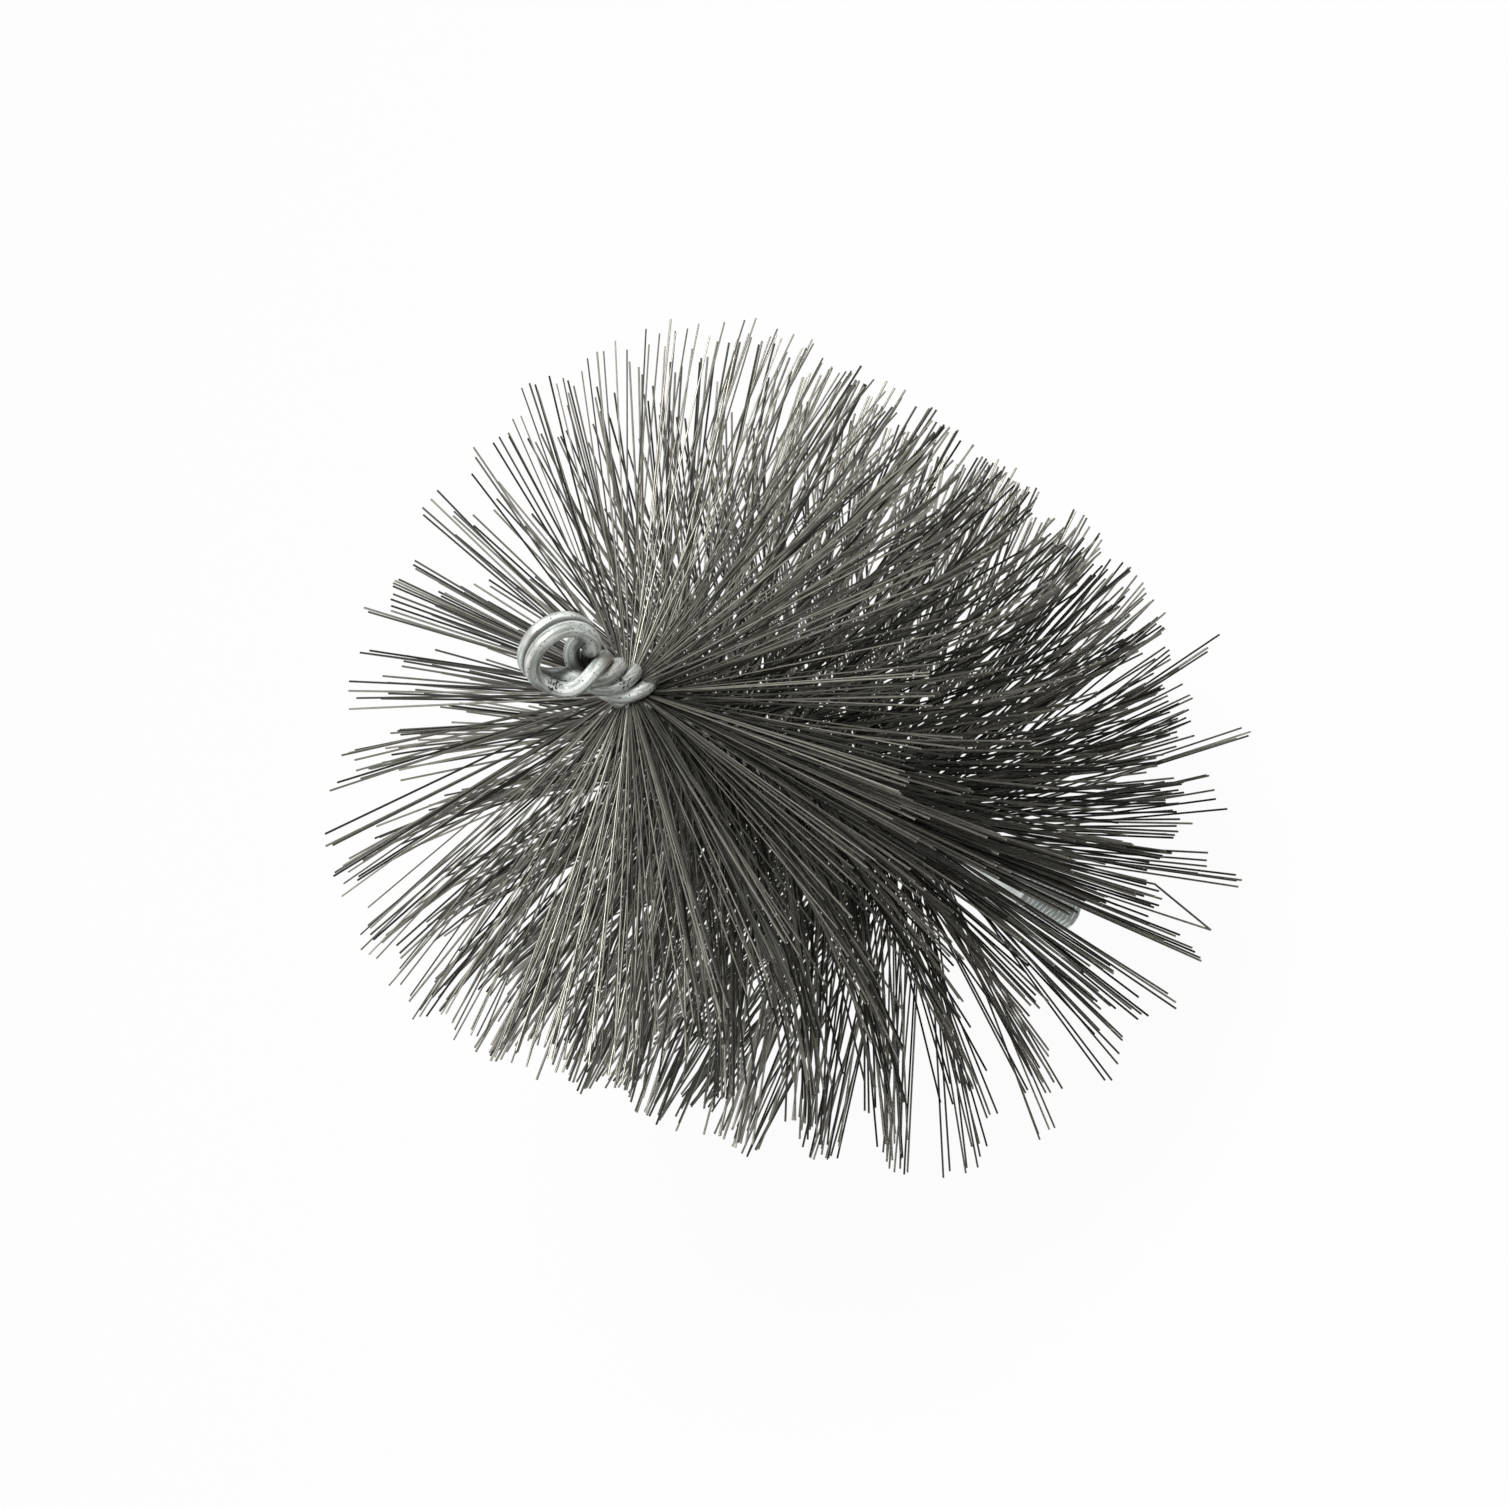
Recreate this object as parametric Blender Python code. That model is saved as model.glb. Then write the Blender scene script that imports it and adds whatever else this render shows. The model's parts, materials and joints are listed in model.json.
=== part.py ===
"""Steel tube brush: bristles gripped in a four-leg wire twist, with an eye and a threaded fitting.

The end face of the stud lies at the origin. +Z runs along the stem to the eye, and the eye
opens along Y. Sizes are in metres.
"""

import math
import random

import bmesh
import bpy
from mathutils import Matrix, Vector
from mathutils.geometry import interpolate_bezier

# Stem: two folded wires whose four legs are twisted to a left-hand lay, tightest below the eye
WIRE_DIAMETER = 0.0026
LEG_GAP = 0.0002
EYE_SIDE_LEAD = 0.0155
TWIST_LEAD = 0.020
BARE_STEM_LENGTH = 0.0183
LEG_COUNT = 4
WIRE_SIDES = 8
STEPS_PER_TURN = 12

# Eye: both wires side by side round one hole. On each wire the leading leg crosses the stem
# first, and the trailing leg crosses below it. Angles run from +X over the top of the loop,
# and the shares are of the loop's radius or of each bend's own span
EYE_INNER_DIAMETER = 0.0089
EYE_STEPS = 22
BEND_STEPS = 9
TWIST_START_SHARE = 0.644
LEADING_BEND_ANGLE = math.radians(1.5)
LEADING_BEND_DEPTH_SHARE = 1.45
LEADING_BEND_PULL_SHARES = (2.44, 2.335)
TRAILING_BEND_ANGLE = math.radians(185)
TRAILING_BEND_DEPTH_SHARE = 1.134
TRAILING_BEND_PULL_SHARES = (1.754, 1.364)

# Bristles: straight steel wires that leave the twist in four rows, between its legs. The rear
# ones stand square to the stem, and the front ones lean forward by the full angle
BRUSH_DIAMETER = 0.140
BRISTLE_ZONE_LENGTH = 0.092
BRISTLE_WIDTH = 0.00034
BRISTLE_CLEARANCE = 0.0001
BRISTLE_TAPER_LENGTH = 0.003
RAGGED_LENGTH = 0.006
TIP_SCATTER = 0.0016
FRONT_LEAN_ANGLE = math.radians(3)
SLICE_COUNT = 21
LEVELS_PER_SLICE = 5

# Fitting: a turned stud with a collar that is crimped on the end of the twist
STUD_DIAMETER = 0.010
STUD_LENGTH = 0.022
STUD_CHAMFER = 0.001
RELIEF_DEPTH = 0.00115
RELIEF_WIDTH = 0.0032
COLLAR_DIAMETER = 0.014
COLLAR_LENGTH = 0.022
COLLAR_CHAMFER = 0.0006
BORE_FLOOR = 0.003
BORE_LEAD_IN = 0.0005
SEAT_CLEARANCE = 0.0003
CRIMP_LENGTH = 0.012
CRIMP_DEPTH = 0.0006
CRIMP_RAMP = 0.0008
CRIMP_FLATS = 6
FITTING_STEPS = 36
WELD_DISTANCE = 0.00001

# Colours are linear
WIRE_COLOUR = (0.42, 0.44, 0.43, 1.0)
BRISTLE_COLOUR = (0.075, 0.072, 0.064, 1.0)
FITTING_COLOUR = (0.55, 0.57, 0.58, 1.0)


def neighbour_spacing(radius, lead):
    """Least distance between the centre lines of neighbouring legs on a circle of this radius."""
    rise = lead / math.tau
    quarter = math.tau / LEG_COUNT
    spacings = []
    for step in range(181):
        turn = quarter * step / 180
        chord = 2 * radius * math.sin(turn / 2)
        spacings.append(math.hypot(chord, rise * (quarter - turn)))
    return min(spacings)


def pinch_spacing(radius, lead):
    """Least distance from a leg's centre line to a bristle that passes midway between two legs."""
    rise = lead / math.tau
    half_quarter = math.pi / LEG_COUNT
    spacings = []
    for step in range(181):
        turn = half_quarter * step / 180
        offset = radius * math.sin(half_quarter - turn)
        spacings.append(math.hypot(offset, rise * turn))
    return min(spacings)


def smallest_leg_circle(spacing_at, lead, needed):
    """Smallest radius of the legs' circle on which a spacing reaches what is needed."""
    low = 0.0
    high = lead
    for _ in range(40):
        middle = (low + high) / 2
        if spacing_at(middle, lead) < needed:
            low = middle
        else:
            high = middle
    return high


# The twist lies as tight as its wires allow, and opens where bristles pass between the legs
LEG_SPACING = WIRE_DIAMETER + LEG_GAP
BRISTLE_HALF_DIAGONAL = BRISTLE_WIDTH / math.sqrt(2)
PINCH_SPACING = WIRE_DIAMETER / 2 + BRISTLE_HALF_DIAGONAL + BRISTLE_CLEARANCE
EYE_SIDE_RADIUS = smallest_leg_circle(neighbour_spacing, EYE_SIDE_LEAD, LEG_SPACING)
FILLED_RADIUS = smallest_leg_circle(pinch_spacing, TWIST_LEAD, PINCH_SPACING)
BORE_SIDE_RADIUS = smallest_leg_circle(neighbour_spacing, TWIST_LEAD, LEG_SPACING)

# The packed core fills the middle of the twist and clears the legs round it
CORE_CORNER_RADIUS = FILLED_RADIUS - WIRE_DIAMETER / 2 - SEAT_CLEARANCE
CORE_HALF_WIDTH = CORE_CORNER_RADIUS / math.sqrt(2)

# Heights along the stem. A leg's slanting end reaches less than its radius below its foot
COLLAR_TOP = STUD_LENGTH + COLLAR_LENGTH
BORE_FLOOR_HEIGHT = STUD_LENGTH + BORE_FLOOR
LEG_FOOT = BORE_FLOOR_HEIGHT + SEAT_CLEARANCE + WIRE_DIAMETER / 2
BRISTLE_BOTTOM = COLLAR_TOP + BRISTLE_TAPER_LENGTH
BRISTLE_TOP = BRISTLE_BOTTOM + BRISTLE_ZONE_LENGTH
TAPER_TOP = BRISTLE_TOP + BRISTLE_TAPER_LENGTH
EYE_HEIGHT = BRISTLE_TOP + BARE_STEM_LENGTH
EYE_RADIUS = (EYE_INNER_DIAMETER + WIRE_DIAMETER) / 2
TWIST_START = EYE_HEIGHT - EYE_RADIUS * TWIST_START_SHARE


def smooth_share(value):
    """Share from 0 to 1 that starts and ends level, for a value from 0 to 1."""
    inside = min(max(value, 0.0), 1.0)
    return inside * inside * (3 - 2 * inside)


def twist_angle(height):
    """Turn of the twist at a height: none at its start, and growing downwards."""
    tight_rate = math.tau / EYE_SIDE_LEAD
    open_rate = math.tau / TWIST_LEAD
    eased = min(max((TAPER_TOP - height) / BRISTLE_TAPER_LENGTH, 0.0), 1.0)
    tight_turn = tight_rate * (TWIST_START - max(height, TAPER_TOP))
    mean_rate = tight_rate + (open_rate - tight_rate) * eased / 2
    easing_turn = mean_rate * eased * BRISTLE_TAPER_LENGTH
    open_turn = open_rate * max(BRISTLE_TOP - height, 0.0)
    return tight_turn + easing_turn + open_turn


def twist_radius(height):
    """Radius of the legs' circle at a height, wide where bristles are and tight at both ends."""
    if height > BRISTLE_TOP:
        end_radius = EYE_SIDE_RADIUS
        outside = height - BRISTLE_TOP
    else:
        end_radius = BORE_SIDE_RADIUS
        outside = BRISTLE_BOTTOM - height
    end_share = smooth_share(outside / BRISTLE_TAPER_LENGTH)
    return FILLED_RADIUS + (end_radius - FILLED_RADIUS) * end_share


def around_stem(radius, angle, height):
    """Point at a radius and angle about the stem's axis."""
    return Vector((radius * math.cos(angle), radius * math.sin(angle), height))


def leg_point(start_angle, height):
    """Point of a leg's centre line, for the leg that starts the twist at the given angle."""
    return around_stem(twist_radius(height), start_angle + twist_angle(height), height)


def leg_direction(start_angle, height):
    """Upward direction of a leg above the bristles, where the twist turns evenly."""
    sideways = around_stem(EYE_SIDE_RADIUS, start_angle + twist_angle(height) - math.pi / 2, 0)
    return (sideways * math.tau / EYE_SIDE_LEAD + Vector((0, 0, 1))).normalized()


def leg_points(start_angle, top):
    """Centre line of one leg, from its foot in the bore up to its bend under the eye."""
    length = top - LEG_FOOT
    steps = round(length / TWIST_LEAD * STEPS_PER_TURN)
    return [leg_point(start_angle, LEG_FOOT + length * step / steps) for step in range(steps + 1)]


def loop_point(angle):
    """Point on the loop of the first wire, which lies on the +Y side of the eye."""
    across = EYE_RADIUS * math.cos(angle)
    height = EYE_HEIGHT + EYE_RADIUS * math.sin(angle)
    return Vector((across, LEG_SPACING / 2, height))


def bend_points(start_angle, top, loop_angle, way, pull_shares):
    """Bend from the top of a leg up to the loop, whose wire runs on upwards there."""
    leg_end = leg_point(start_angle, top)
    loop_end = loop_point(loop_angle)
    loop_rise = Vector((-math.sin(loop_angle), 0, math.cos(loop_angle))) * way
    span = (loop_end - leg_end).length
    leg_handle = leg_end + leg_direction(start_angle, top) * span * pull_shares[1] / 3
    loop_handle = loop_end - loop_rise * span * pull_shares[0] / 3
    curve = interpolate_bezier(leg_end, leg_handle, loop_handle, loop_end, BEND_STEPS + 1)
    return curve[1:]


def first_wire_points():
    """Centre line of the +Y wire: up its leading leg, round the eye and down its trailing leg."""
    leading_start = math.pi / 4
    trailing_start = 3 * math.pi / 4
    leading_top = EYE_HEIGHT - EYE_RADIUS * LEADING_BEND_DEPTH_SHARE
    trailing_top = EYE_HEIGHT - EYE_RADIUS * TRAILING_BEND_DEPTH_SHARE
    points = leg_points(leading_start, leading_top)
    points += bend_points(leading_start, leading_top, LEADING_BEND_ANGLE, 1,
                          LEADING_BEND_PULL_SHARES)
    loop_turn = TRAILING_BEND_ANGLE - LEADING_BEND_ANGLE
    points += [loop_point(LEADING_BEND_ANGLE + loop_turn * step / EYE_STEPS)
               for step in range(1, EYE_STEPS)]
    points += reversed(bend_points(trailing_start, trailing_top, TRAILING_BEND_ANGLE, -1,
                                   TRAILING_BEND_PULL_SHARES))
    points += reversed(leg_points(trailing_start, trailing_top))
    return points


def wire_points(half_turns):
    """Centre line of a folded wire: the second is the first, turned half round the stem."""
    turn = Matrix.Rotation(math.pi * half_turns, 3, "Z")
    return [turn @ point for point in first_wire_points()]


def least_gap_to_itself(points, diameter):
    """Least gap between stretches of a wire that lie over three diameters apart along it."""
    travelled = [0.0]
    for first, second in zip(points, points[1:]):
        travelled.append(travelled[-1] + (second - first).length)
    least = math.inf
    for here in range(len(points)):
        for there in range(here + 1, len(points)):
            if travelled[there] - travelled[here] > 3 * diameter:
                least = min(least, (points[there] - points[here]).length)
    return least - diameter


def make_material(name, colour, roughness, metallic):
    """Principled material with a plain colour and finish."""
    material = bpy.data.materials.new(name)
    material.use_nodes = True
    shader = material.node_tree.nodes["Principled BSDF"]
    shader.inputs["Base Color"].default_value = colour
    shader.inputs["Roughness"].default_value = roughness
    shader.inputs["Metallic"].default_value = metallic
    material.diffuse_color = colour
    return material


def add_object(name, data, material, parent):
    """Object that holds the given mesh or curve, under the brush's empty."""
    data.materials.append(material)
    piece = bpy.data.objects.new(name, data)
    piece.parent = parent
    bpy.context.scene.collection.objects.link(piece)
    return piece


def build_stem_wire(name, half_turns, material, parent):
    """One folded wire with its half of the eye and two legs of the twist."""
    points = wire_points(half_turns)
    gap = least_gap_to_itself(points, WIRE_DIAMETER)
    print(f"{name}: least gap to itself {gap * 1000:.2f} mm")
    curve = bpy.data.curves.new(name, "CURVE")
    curve.dimensions = "3D"
    curve.bevel_depth = WIRE_DIAMETER / 2
    curve.bevel_resolution = (WIRE_SIDES - 4) // 2
    curve.use_fill_caps = True
    spline = curve.splines.new("POLY")
    spline.points.add(len(points) - 1)
    for spline_point, point in zip(spline.points, points):
        spline_point.co = (*point, 1.0)
    return add_object(name, curve, material, parent)


def set_square(face, centre, side_direction):
    """Lay a four-sided face on a bristle's section about a centre."""
    half = BRISTLE_WIDTH / 2
    across = side_direction * half
    upward = Vector((0, 0, half))
    corners = (-across - upward, across - upward, across + upward, upward - across)
    for vertex, corner in zip(face.verts, corners):
        vertex.co = centre + corner


def grow_bristle(bm, face, base_height, height, angle, rng):
    """Draw a straight bristle out of one side face of the core, through the pinch of two legs."""
    outward = around_stem(1, angle, 0)
    sideways = around_stem(1, angle + math.pi / 2, 0)
    lean = FRONT_LEAN_ANGLE * (height - BRISTLE_BOTTOM) / BRISTLE_ZONE_LENGTH
    reach = BRUSH_DIAMETER / 2 - RAGGED_LENGTH * rng.random() ** 2
    rise = (reach - FILLED_RADIUS) * math.tan(lean) + TIP_SCATTER * rng.uniform(-1, 1)
    drift_side = TIP_SCATTER * rng.uniform(-1, 1)
    lift = Vector((0, 0, 1))
    tip_from_pinch = outward * (reach - FILLED_RADIUS) + sideways * drift_side + lift * rise
    pinch = outward * FILLED_RADIUS + lift * (height - base_height)
    slope = tip_from_pinch / tip_from_pinch.dot(outward)
    root = pinch - slope * (FILLED_RADIUS - CORE_HALF_WIDTH)
    bmesh.ops.inset_individual(bm, faces=[face], thickness=BRISTLE_WIDTH)
    set_square(face, root, sideways)
    grown = bmesh.ops.extrude_discrete_faces(bm, faces=[face])["faces"][0]
    set_square(grown, pinch + tip_from_pinch, sideways)


def build_bristle_slice(number, material, parent):
    """One slice of the packed core, a twisted square, with the bristles that leave its sides."""
    rng = random.Random(number)
    pitch = BRISTLE_ZONE_LENGTH / SLICE_COUNT
    base_height = BRISTLE_BOTTOM + pitch * number + SEAT_CLEARANCE / 2
    level_height = (pitch - SEAT_CLEARANCE) / LEVELS_PER_SLICE
    quarter = math.tau / LEG_COUNT
    bm = bmesh.new()
    rings = []
    for level in range(LEVELS_PER_SLICE + 1):
        rise = level_height * level
        first_corner = twist_angle(base_height + rise) - quarter / 2
        corners = [around_stem(CORE_CORNER_RADIUS, first_corner + quarter * row, rise)
                   for row in range(LEG_COUNT)]
        rings.append([bm.verts.new(corner) for corner in corners])
    bm.faces.new(reversed(rings[0]))
    bm.faces.new(rings[-1])
    for level in range(LEVELS_PER_SLICE):
        lower = rings[level]
        upper = rings[level + 1]
        height = base_height + level_height * (level + 0.5)
        for row in range(LEG_COUNT):
            after = (row + 1) % LEG_COUNT
            face = bm.faces.new((lower[row], lower[after], upper[after], upper[row]))
            angle = twist_angle(height) + quarter * row
            grow_bristle(bm, face, base_height, height, angle, rng)
    name = f"bristle_slice_{number + 1:02d}"
    mesh = bpy.data.meshes.new(name)
    bm.to_mesh(mesh)
    bm.free()
    piece = add_object(name, mesh, material, parent)
    piece.location.z = base_height
    return piece


def fitting_profile():
    """Half section of the fitting from the middle of its end face round to its bore floor."""
    stud = STUD_DIAMETER / 2
    relief = stud - RELIEF_DEPTH
    relief_bottom = STUD_LENGTH - RELIEF_WIDTH
    collar = COLLAR_DIAMETER / 2
    bore = BORE_SIDE_RADIUS + WIRE_DIAMETER / 2 + SEAT_CLEARANCE
    crimp_bottom = STUD_LENGTH + (COLLAR_LENGTH - CRIMP_LENGTH) / 2
    crimp_top = crimp_bottom + CRIMP_LENGTH
    return [
        (0, 0),
        (stud - STUD_CHAMFER, 0),
        (stud, STUD_CHAMFER),
        (stud, relief_bottom - RELIEF_DEPTH),
        (relief, relief_bottom),
        (relief, STUD_LENGTH),
        (collar - COLLAR_CHAMFER, STUD_LENGTH),
        (collar, STUD_LENGTH + COLLAR_CHAMFER),
        (collar, crimp_bottom),
        (collar, crimp_bottom + CRIMP_RAMP),
        (collar, crimp_top - CRIMP_RAMP),
        (collar, crimp_top),
        (collar, COLLAR_TOP - COLLAR_CHAMFER),
        (collar - COLLAR_CHAMFER, COLLAR_TOP),
        (bore + BORE_LEAD_IN, COLLAR_TOP),
        (bore, COLLAR_TOP - BORE_LEAD_IN),
        (bore, BORE_FLOOR_HEIGHT),
        (0, BORE_FLOOR_HEIGHT),
    ]


def press_crimp_flats(bm):
    """Press the middle of the collar to a hexagon, which grips the legs in the bore."""
    collar = COLLAR_DIAMETER / 2
    flat_distance = collar - CRIMP_DEPTH
    flat_turn = math.tau / CRIMP_FLATS
    band_middle = STUD_LENGTH + COLLAR_LENGTH / 2
    band_half_length = CRIMP_LENGTH / 2 - CRIMP_RAMP / 2
    for vertex in bm.verts:
        radius = math.hypot(vertex.co.x, vertex.co.y)
        in_band = abs(vertex.co.z - band_middle) < band_half_length
        if in_band and radius > collar - CRIMP_DEPTH:
            angle = math.atan2(vertex.co.y, vertex.co.x)
            from_flat = (angle + flat_turn / 2) % flat_turn - flat_turn / 2
            pressed = min(flat_distance / math.cos(from_flat), radius)
            vertex.co.x *= pressed / radius
            vertex.co.y *= pressed / radius


def build_fitting(material, parent):
    """Threaded fitting as one turned solid, with a blind bore for the legs of the twist."""
    bm = bmesh.new()
    vertices = [bm.verts.new((radius, 0, height)) for radius, height in fitting_profile()]
    edges = [bm.edges.new(pair) for pair in zip(vertices, vertices[1:])]
    bmesh.ops.spin(bm, geom=vertices + edges, cent=(0, 0, 0), axis=(0, 0, 1),
                   angle=math.tau, steps=FITTING_STEPS, use_merge=True)
    on_axis = [vertex for vertex in bm.verts if vertex.co.x == 0 and vertex.co.y == 0]
    bmesh.ops.remove_doubles(bm, verts=on_axis, dist=WELD_DISTANCE)
    press_crimp_flats(bm)
    bmesh.ops.recalc_face_normals(bm, faces=bm.faces)
    mesh = bpy.data.meshes.new("threaded_fitting")
    bm.to_mesh(mesh)
    bm.free()
    mesh.shade_smooth()
    mesh.set_sharp_from_angle(angle=math.radians(30))
    return add_object("threaded_fitting", mesh, material, parent)


def clear_scene():
    """Remove every object that the scene starts with."""
    for old in list(bpy.data.objects):
        bpy.data.objects.remove(old, do_unlink=True)


def build_brush():
    """Whole brush under one empty at the end face of its stud."""
    clear_scene()
    root = bpy.data.objects.new("tube_brush", None)
    bpy.context.scene.collection.objects.link(root)
    wire_finish = make_material("galvanised_wire", WIRE_COLOUR, 0.4, 0.9)
    bristle_finish = make_material("bristle_steel", BRISTLE_COLOUR, 0.5, 0.8)
    fitting_finish = make_material("zinc_plated_steel", FITTING_COLOUR, 0.32, 0.95)
    build_fitting(fitting_finish, root)
    build_stem_wire("stem_wire_a", 0, wire_finish, root)
    build_stem_wire("stem_wire_b", 1, wire_finish, root)
    for number in range(SLICE_COUNT):
        build_bristle_slice(number, bristle_finish, root)


build_brush()
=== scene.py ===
"""Steel tube brush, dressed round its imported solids.

Lengths are in metres, in the frame of the solids: the stud's end face lies at the origin, +Z
runs along the stem to the eye, and the eye opens along Y.
"""

from __future__ import annotations

import json
import logging
import math
import random
from dataclasses import dataclass
from enum import Enum
from typing import Any, Callable, Iterable

import bmesh
import bpy
from mathutils import Matrix, Vector
from mathutils.geometry import interpolate_bezier

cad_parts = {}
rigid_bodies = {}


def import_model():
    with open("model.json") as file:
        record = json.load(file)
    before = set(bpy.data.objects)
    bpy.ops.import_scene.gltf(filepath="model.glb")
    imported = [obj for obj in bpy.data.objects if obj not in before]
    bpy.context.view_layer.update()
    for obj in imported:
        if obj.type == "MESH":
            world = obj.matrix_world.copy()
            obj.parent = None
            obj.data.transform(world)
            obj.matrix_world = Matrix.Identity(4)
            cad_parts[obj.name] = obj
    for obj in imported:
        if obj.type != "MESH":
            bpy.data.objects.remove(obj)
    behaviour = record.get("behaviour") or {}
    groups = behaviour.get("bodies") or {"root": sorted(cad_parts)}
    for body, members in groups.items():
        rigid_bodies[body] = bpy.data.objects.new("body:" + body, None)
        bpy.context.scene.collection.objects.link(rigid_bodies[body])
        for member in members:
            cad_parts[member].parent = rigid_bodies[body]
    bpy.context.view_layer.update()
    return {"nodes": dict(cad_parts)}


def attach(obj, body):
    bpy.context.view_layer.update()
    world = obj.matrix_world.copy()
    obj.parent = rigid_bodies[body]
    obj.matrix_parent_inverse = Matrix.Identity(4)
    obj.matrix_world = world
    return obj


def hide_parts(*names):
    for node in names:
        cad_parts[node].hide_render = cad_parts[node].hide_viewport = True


LOG = logging.getLogger("tube_brush")

Colour = tuple[float, float, float, float]
Point = tuple[float, float, float]
Span = tuple[float, float]
WHITE: Colour = (1.0, 1.0, 1.0, 1.0)
# Lengths beyond every size of the brush, and below every one.
FAR = 1000.0
TINY = 0.000001


class Slot(Enum):
    """Material slots of the record."""

    WIRE = "galvanised_wire"
    BRISTLE = "bristle_steel"
    FITTING = "zinc_plated_steel"


class StemWire(Enum):
    """The two folded wires of the stem, by their half turns about it."""

    FIRST = 0
    SECOND = 1


class Layer(Enum):
    """The two crossing layers of bristles, each of which leaves the twist in two rows."""

    ALONG_EYE = 0
    ACROSS_EYE = 1


class Draw(Enum):
    """What is drawn at random for a bristle or its group, with the seed of the draw."""

    GROUP_SWING = 1
    OWN_SWING = 2
    GROUP_TILT = 3
    OWN_TILT = 4
    GROUP_SHORTFALL = 5
    OWN_SHORTFALL = 6
    TONE_AND_HIGHLIGHT = 8
    SIDEWAYS_BOW = 9
    UPWARD_BOW = 10
    GROUP_END = 11


def eased(share: float) -> float:
    """Smooth step from 0 to 1, which stays level outside that range."""
    share = min(max(share, 0.0), 1.0)
    return share * share * (3 - 2 * share)


def placed(name: str, data: bpy.types.ID) -> bpy.types.Object:
    """Make an object of the scene.

    Args:
        name: The object's name.
        data: Mesh, curve, light or camera that it shows.

    Returns:
        The object, at the origin.
    """
    made = bpy.data.objects.new(name, data)
    bpy.context.scene.collection.objects.link(made)
    return made


def maths(operation: str, reflected: bool = False) -> Callable[..., Signal]:
    """Make a method that adds a Math node.

    Args:
        operation: The node's operation.
        reflected: Whether the signal that it is called on comes last.

    Returns:
        The method, which takes the other number or signal where the operation has one.
    """
    def add_node(signal: Signal, *others: Any) -> Signal:
        """Add the Math node."""
        values = (*others, signal) if reflected else (signal, *others)
        return signal.graph.signal("ShaderNodeMath", dict(enumerate(values)),
                                   operation=operation)

    return add_node


class Signal:
    """Number or vector that flows through a node tree. Arithmetic on it adds Math nodes."""

    __add__ = maths("ADD")
    __radd__ = maths("ADD", True)
    __sub__ = maths("SUBTRACT")
    __rsub__ = maths("SUBTRACT", True)
    __mul__ = maths("MULTIPLY")
    __rmul__ = maths("MULTIPLY", True)
    __truediv__ = maths("DIVIDE")
    __rtruediv__ = maths("DIVIDE", True)
    __pow__ = maths("POWER")
    __rpow__ = maths("POWER", True)
    __mod__ = maths("FLOORED_MODULO")
    __rmod__ = maths("FLOORED_MODULO", True)
    __abs__ = maths("ABSOLUTE")
    floor = maths("FLOOR")
    sine = maths("SINE")
    cosine = maths("COSINE")
    bearing = maths("ARCTAN2")
    least = maths("MINIMUM")
    most = maths("MAXIMUM")
    below = maths("LESS_THAN")

    def __init__(self, graph: Graph, socket: bpy.types.NodeSocket) -> None:
        """Wrap an output socket of a graph's tree."""
        self.graph = graph
        self.socket = socket

    def hypotenuse(self, other: Signal) -> Signal:
        """Long side of the right triangle that has the two signals as short sides."""
        return (self * self + other * other) ** 0.5

    def ramped(self, span: Span, start: float = 0.0, end: float = 1.0) -> Signal:
        """Ease from one number to another as the signal crosses a range."""
        inputs = dict(enumerate((self, *span, start, end)))
        return self.graph.signal("ShaderNodeMapRange", inputs, interpolation_type="SMOOTHSTEP")

    def faded(self, span: Span) -> Signal:
        """Ease from one to zero as the signal crosses a range."""
        return self.ramped(span, 1.0, 0.0)


class Graph:
    """Node tree that is built from Python."""

    def __init__(self, tree: bpy.types.NodeTree) -> None:
        """Wrap a tree and clear it."""
        self.tree = tree
        self.tree.nodes.clear()

    def node(self, kind: str, inputs: dict[str | int, Any] | None = None,
             **settings: Any) -> bpy.types.Node:
        """Add a node.

        Args:
            kind: The node's type.
            inputs: Values or signals for its inputs, by name or number.
            **settings: Its properties, which are set first.

        Returns:
            The new node.
        """
        made = self.tree.nodes.new(kind)
        for name, value in settings.items():
            setattr(made, name, value)
        for key, value in (inputs or {}).items():
            if isinstance(value, Signal):
                self.tree.links.new(value.socket, made.inputs[key])
            else:
                made.inputs[key].default_value = value
        return made

    def signal(self, kind: str, inputs: dict[str | int, Any] | None = None,
               output: str | int = 0, **settings: Any) -> Signal:
        """Add a node and wrap its output of the given name or number."""
        return Signal(self, self.node(kind, inputs, **settings).outputs[output])

    def vector(self, x: Any, y: Any, z: Any = 0.0) -> Signal:
        """Vector of three numbers."""
        return self.signal("ShaderNodeCombineXYZ", {0: x, 1: y, 2: z})

    def parts(self, vector: Signal) -> list[Signal]:
        """The three numbers of a vector."""
        split = self.node("ShaderNodeSeparateXYZ", {0: vector})
        return [Signal(self, socket) for socket in split.outputs]


@dataclass(frozen=True)
class Grain:
    """Noise that a finish shows: its scale, octaves, and strength of each next octave."""

    scale: float
    octaves: float
    falloff: float = 0.5
    stretch: Point = (1, 1, 1)


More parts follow.
